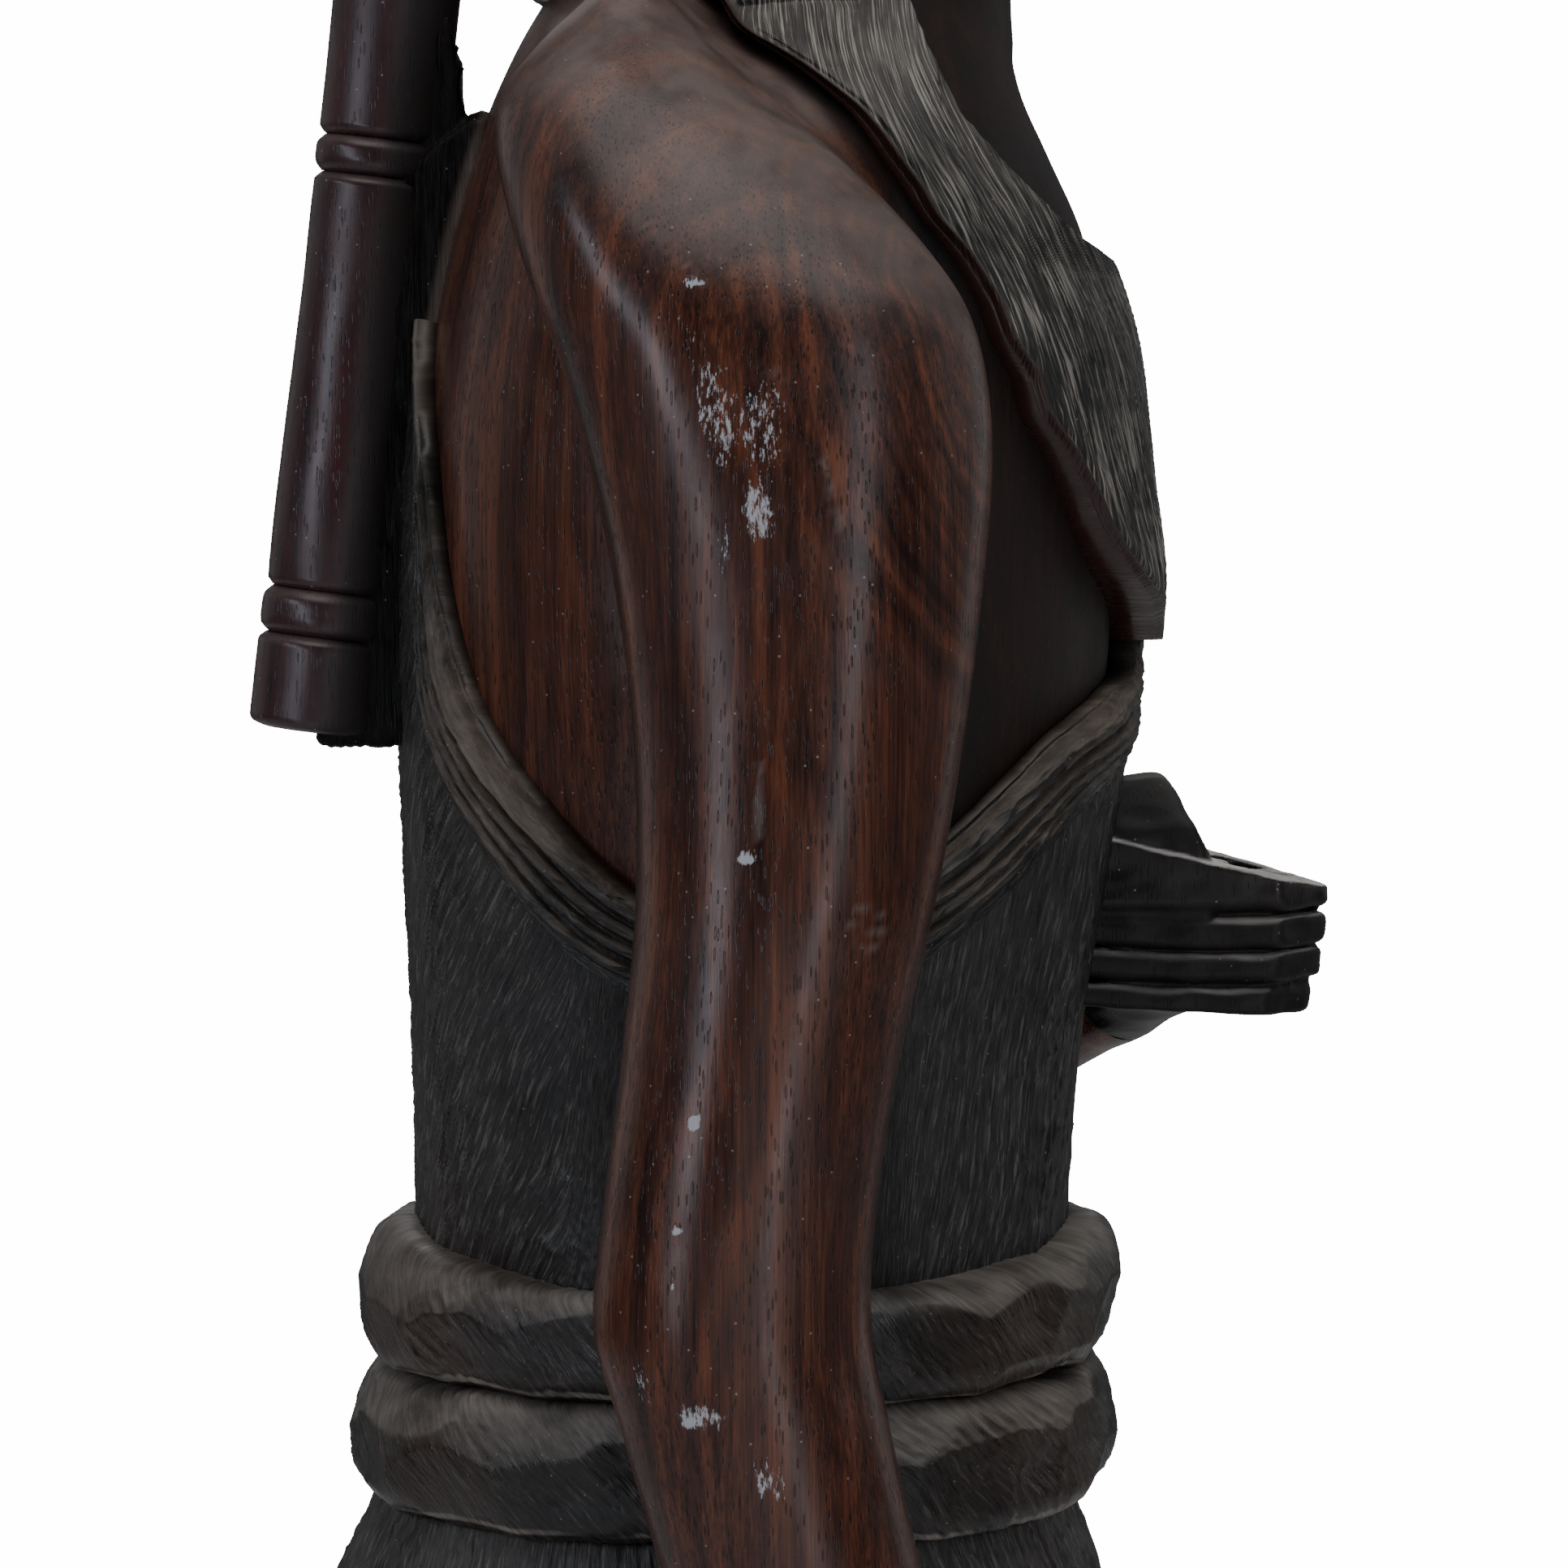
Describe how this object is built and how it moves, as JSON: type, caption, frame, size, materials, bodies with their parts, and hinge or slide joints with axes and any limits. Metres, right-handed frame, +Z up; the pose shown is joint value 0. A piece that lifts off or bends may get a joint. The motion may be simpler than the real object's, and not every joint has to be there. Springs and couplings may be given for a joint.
{
  "type": "carved standing figure",
  "caption": "Carved dark-wood hunter standing on a log base, in a one-shouldered robe with a rolled belt and a hide cape, quiver on the back, left fist pierced for a rod",
  "frame": {"origin": "on the floor, under the middle of the log base", "axes": "+X is the way the figure faces, +Y is the figure's left, +Z is up"},
  "size_m": [0.152, 0.192, 0.77],
  "materials": {
    "polished_wood": "polished",
    "robe_wood": "gouged and stained",
    "belt_wood": "gouged and stained",
    "cape_wood": "finely hatched",
    "hair_wood": "finely hatched",
    "dark_hand_wood": "stained",
    "quiver_wood": "polished",
    "black_filler": "matt",
    "dowel_wood": "plain",
    "base_wood": "satin"
  },
  "bodies": {
    "root": {"plinth": "base_wood", "foot_dowels": "dowel_wood", "right_leg": "polished_wood", "left_leg": "polished_wood", "robe_skirt": "robe_wood", "belt_lower_roll": "belt_wood", "belt_upper_roll": "belt_wood", "robe_body": "robe_wood", "robe_hem_roll": "belt_wood", "bare_torso": "polished_wood", "head": "polished_wood", "hair": "hair_wood", "right_ear": "polished_wood", "left_ear": "polished_wood", "right_arm": "polished_wood", "right_hand": "dark_hand_wood", "left_arm": "polished_wood", "left_hand": "dark_hand_wood", "cape_collar": "cape_wood", "cape_right_flap": "cape_wood", "cape_left_flap": "cape_wood", "quiver_backing": "black_filler", "quiver_pegs": "dowel_wood", "quiver_foot": "quiver_wood", "quiver_lower_band": "quiver_wood", "quiver_tube": "quiver_wood", "quiver_upper_band": "quiver_wood", "quiver_top": "quiver_wood", "quiver_cap": "quiver_wood"}
  },
  "joints": []
}
